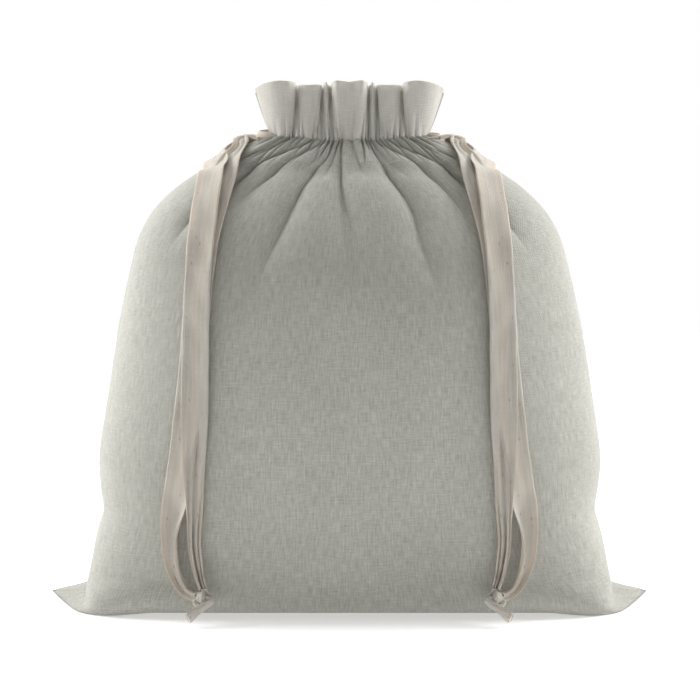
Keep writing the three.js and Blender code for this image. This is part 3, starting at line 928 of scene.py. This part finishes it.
def make_panel(side, folds, gathers, wave, wobble):
    """One side of the pouch: underside, body, gathered neck, frill and turned-in lining, as one cloth.

    Returns the piece, and its body rows for the stitches that lie on them.
    """
    even = np.linspace(-1, 1, COLUMNS)
    edge = frill_edge(COLUMNS, side, wobble)
    at_neck = neck_fractions(edge)

    smooth_rows, fractions, half_lengths = [], [], []
    for z in BODY_LEVELS:
        fraction = even + (at_neck - even) * smoothstep((z - GATHERING) / (GATHER_LINE - GATHERING))
        points, half_length = outline_points(z, fraction, SQUARER["back" if side > 0 else "front"])
        out = -points[:, 1] / float(section_at(z)[1])
        at_corner = smoothstep((np.abs(points[:, 0]) - 62) / 20)
        points[:, 1] += base_inset(z, out) * (1 - 0.85 * at_corner)
        smooth_rows.append(np.column_stack([points, z + ear_lift(points[:, 0])]))
        fractions.append(fraction)
        half_lengths.append(half_length)
    body = np.array(smooth_rows)

    across = unit(np.gradient(body, axis=1))
    up = unit(np.gradient(body, axis=0))
    normal = unit(np.cross(across, up))
    relief = np.zeros(body.shape[:2])
    pull = np.zeros(body.shape[:2])
    for row, z in enumerate(BODY_LEVELS):
        for fold in folds:
            deep, sideways = fold.shift(z, fractions[row], half_lengths[row])
            relief[row] -= deep
            pull[row] += sideways
        calm = smoothstep(z / 25) * smoothstep((150 - z) / 20)
        relief[row] += wave(fractions[row], z) * calm
        near_seam = smoothstep((1 - np.abs(fractions[row])) * half_lengths[row] / 7)
        relief[row] *= near_seam
        pull[row] *= near_seam
        ridge = 0.5 * np.exp(-((1 - np.abs(fractions[row])) * half_lengths[row] / 1.2))
        relief[row] -= ridge * smoothstep((z - 5) / 6)
    # Valleys that meet near the neck don't add up to more than the cloth has.
    limit = 1.8 + 4.0 * smoothstep((GATHER_LINE - BODY_LEVELS[:, None]) / 14)
    relief = -limit * np.tanh(-relief / limit)
    at_seam = smoothstep((1 - np.abs(even)) * 14)
    for row, z in enumerate(BODY_LEVELS):
        relief[row] += gathers.relief(even, z - GATHER_LINE) * at_seam
    bent = body + normal * relief[..., None] + across * pull[..., None]

    base = bent[0]
    across_seam = even * HALF_FLAT_WIDTH
    seam = np.column_stack([across_seam, np.full(COLUMNS, -SEAM_GAP), ear_lift(across_seam)])
    underside = [seam + (base - seam) * t for t in np.linspace(0, 1, UNDERSIDE_ROWS)[:-1]]

    foot = bent[-1]
    smooth_foot = body[-1]
    gather = foot - smooth_foot - normal[-1] * (gathers.relief(even, 0) * at_seam)[:, None]
    rise = np.linspace(0, 1, FRILL_ROWS)[1:, None, None]
    spread = rise**0.85
    frill = smooth_foot + (edge - smooth_foot) * [1, 1, 0] * spread
    frill[..., 2] = smooth_foot[:, 2] + (edge[:, 2] - smooth_foot[:, 2]) * rise[..., 0]
    frill += gather * (1 - rise) ** 1.6
    tall = edge[:, 2].mean() - GATHER_LINE
    for row, height in enumerate(rise[:, 0, 0] * tall):
        frill[row] += normal[-1] * (gathers.relief(even, height) * at_seam)[:, None]

    tangent = unit(np.gradient(edge * [1, 1, 0], axis=0))
    inward = np.column_stack([-tangent[:, 1], tangent[:, 0], np.zeros(COLUMNS)])
    from_side = np.minimum(even + 1, 1 - even) * 100
    gap = FRILL_LAYER_GAP * smoothstep(from_side / 3)[:, None]
    roll = []
    for angle in np.linspace(0, math.pi, 6)[1:-1]:
        sway = inward * gap / 2 * (1 - math.cos(angle))
        lift = np.column_stack([np.zeros((COLUMNS, 2)), gap[:, 0] / 2 * math.sin(angle)])
        roll.append(frill[-1] + sway + lift)
    inside = [row + inward * gap for row in frill[::-1]]
    inside.append(foot + inward * gap)
    for depth in np.linspace(0, LINING_DEPTH, 8)[1:]:
        low_row = smooth_foot + gather * 0.6 + inward * gap
        inside.append(low_row * [1, 1 - 0.4 * depth / LINING_DEPTH, 1] - [0, 0, depth])

    rows = np.array([*underside, *bent, *frill, *roll, *inside])
    rows[:, :, 1] = np.minimum(rows[:, :, 1], -SEAM_GAP)
    walked = np.array([along(rows[:, column])[:, None] for column in range(0, COLUMNS, 8)])
    length = walked.mean(0)
    grain = grain_of(rows, across_seam, length)
    if side > 0:
        rows = rows * [-1, -1, 1]
    faces = grid_faces(*rows.shape[:2])
    name = "back_cloth" if side > 0 else "front_cloth"
    points = rows.reshape(-1, 3)
    piece = make_object(name, points, faces, COTTON, grain.reshape(-1, 2))
    # Above the stitched line the cloth is doubled and has nothing behind it, and its material is painted
    # lighter, standing in for the light that comes through it from behind.
    piece.data.materials.append(FRILL_PAINTED_BACKLIT)
    row_of_face = np.repeat(np.arange(len(rows) - 1), COLUMNS - 1)
    first = UNDERSIDE_ROWS + len(BODY_LEVELS) - 2
    in_frill = (row_of_face >= first) & (row_of_face < len(rows) - 9)
    piece.data.polygons.foreach_set("material_index", in_frill.astype(np.int32))
    kept = rows[UNDERSIDE_ROWS - 1 : UNDERSIDE_ROWS - 1 + len(BODY_LEVELS)]
    return piece, kept, float(length[-1, 0])


back_folds = scattered_folds(9, 2.4, 4.0, 22, 44, 4.2) + scattered_folds(12, 1.0, 2.2, 8, 20, 2.2)
front_cloth, front_rows, cloth_length = make_panel(-1, FRONT_FOLDS, Gathers(34, 4), undulation(3), 0.5)
back_cloth, back_rows, _ = make_panel(1, back_folds, Gathers(36, 8), undulation(5), 1.0)

# ------------------------------------------------------------------------------ finishing the panels
for piece, word in ((front_cloth, "front"), (back_cloth, "back")):
    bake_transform(piece)
    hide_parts(f"{word}_panel", f"{word}_casing", f"{word}_frill")

# ------------------------------------------------------------------------------ stitches
STITCH_PITCH = 2.6  # along the flat cloth
STITCH_LENGTH = 2.2
THREAD_RADIUS = 0.16
STITCH_ROWS = {"upper": GATHER_LINE, "lower": 148.0}


def make_stitches(name, line, replaced):
    """A row of lock stitches along a line of points on the cloth, from one seam to the other."""
    middle = np.array([0, 0, line[0, 2]])
    out = unit(line - middle) * [1, 1, 0]
    flat = np.linspace(0, FLAT_WIDTH, len(line))
    angle = np.linspace(0, 2 * math.pi, 6, endpoint=False)
    points, faces = [], []
    for start in np.arange(3.0, FLAT_WIDTH - 4, STITCH_PITCH):
        at = start + np.linspace(0, STITCH_LENGTH, 6)
        centre = np.stack([np.interp(at, flat, column) for column in line.T], 1)
        away = unit(np.stack([np.interp(at, flat, column) for column in out.T], 1))
        arch = np.sin(np.linspace(0, math.pi, 6))[:, None]
        centre += away * THREAD_RADIUS * (1.1 * arch - 0.35)
        up = np.array([0, 0, 1.0])
        ring = away[:, None] * np.cos(angle)[:, None] + up * np.sin(angle)[:, None]
        rings = centre[:, None] + ring * THREAD_RADIUS
        faces.append(grid_faces(6, 6, closed=True) + 36 * len(points))
        points.append(rings.reshape(-1, 3))
    one_grain = np.stack(np.meshgrid(np.arange(6) * 0.17, np.arange(6) * 0.4), -1).reshape(-1, 2)
    grain = np.tile(one_grain, (len(points), 1))
    points, faces = np.concatenate(points), np.concatenate(faces)
    piece = make_object(name, points, faces, THREAD, grain)
    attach(piece, "pouch")
    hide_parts(replaced)


for word, rows in (("front", front_rows), ("back", back_rows)):
    for row, z in STITCH_ROWS.items():
        level = int(np.argmin(np.abs(BODY_LEVELS - z)))
        make_stitches(f"{word}_{row}_thread", rows[level], f"{word}_{row}_stitching")

for node in ("left_seam_overlock", "right_seam_overlock", "bottom_seam_overlock"):
    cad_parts[node].data.materials.clear()
    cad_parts[node].data.materials.append(OVERLOCK)

# ------------------------------------------------------------------------------ stage
WHITE = (0.86, 0.86, 0.86, 1)
FLOOR_GLOW = 0.46
STUDIO_FRONT, STUDIO_BACK = 0.07, 1.0  # how bright the studio is behind the camera, and behind the pouch


def make_stage():
    bpy.ops.mesh.primitive_plane_add(size=1.3, location=(0, 0, -0.0002))
    floor = bpy.context.object
    floor.name = "floor"
    n = Nodes("pale floor")
    surface = n.add(
        "ShaderNodeBsdfPrincipled",
        Base_Color=WHITE,
        Roughness=0.9,
        Emission_Color=WHITE,
        Emission_Strength=FLOOR_GLOW,
    )
    out = n.tree.nodes.new("ShaderNodeOutputMaterial")
    n.tree.links.new(surface.outputs[0], out.inputs[0])
    floor.data.materials.append(n.material)


def add_softbox(name, place, size, power):
    light = bpy.data.lights.new(name, "AREA")
    light.size = size
    light.energy = power
    lamp = bpy.data.objects.new(name, light)
    lamp.location = place
    aim = Vector((0, 0, 0.08)) - Vector(place)
    lamp.rotation_euler = aim.to_track_quat("-Z", "Y").to_euler()
    bpy.context.scene.collection.objects.link(lamp)


def make_world():
    """A white studio whose front, behind the camera, is darker than its sides and back."""
    world = bpy.data.worlds.new("studio")
    bpy.context.scene.world = world
    world.use_nodes = True
    tree = world.node_tree
    tree.nodes.clear()
    place = tree.nodes.new("ShaderNodeTexCoord")
    split = tree.nodes.new("ShaderNodeSeparateXYZ")
    tree.links.new(place.outputs["Generated"], split.inputs[0])
    ramp = tree.nodes.new("ShaderNodeMapRange")
    ramp.inputs["From Min"].default_value = -0.8
    ramp.inputs["From Max"].default_value = 0.4
    ramp.inputs["To Min"].default_value = STUDIO_FRONT
    ramp.inputs["To Max"].default_value = STUDIO_BACK
    tree.links.new(split.outputs[1], ramp.inputs[0])
    glow = tree.nodes.new("ShaderNodeBackground")
    glow.inputs["Color"].default_value = (1, 1, 1, 1)
    tree.links.new(ramp.outputs[0], glow.inputs["Strength"])
    out = tree.nodes.new("ShaderNodeOutputWorld")
    tree.links.new(glow.outputs[0], out.inputs[0])


make_stage()
make_world()
add_softbox("left softbox", (-0.9, 0.25, 0.55), 0.6, 10.5)
add_softbox("right softbox", (0.9, 0.25, 0.55), 0.6, 10.5)
add_softbox("top softbox", (0, 0.35, 1.2), 0.8, 6)
bpy.context.scene.view_settings.view_transform = "Standard"
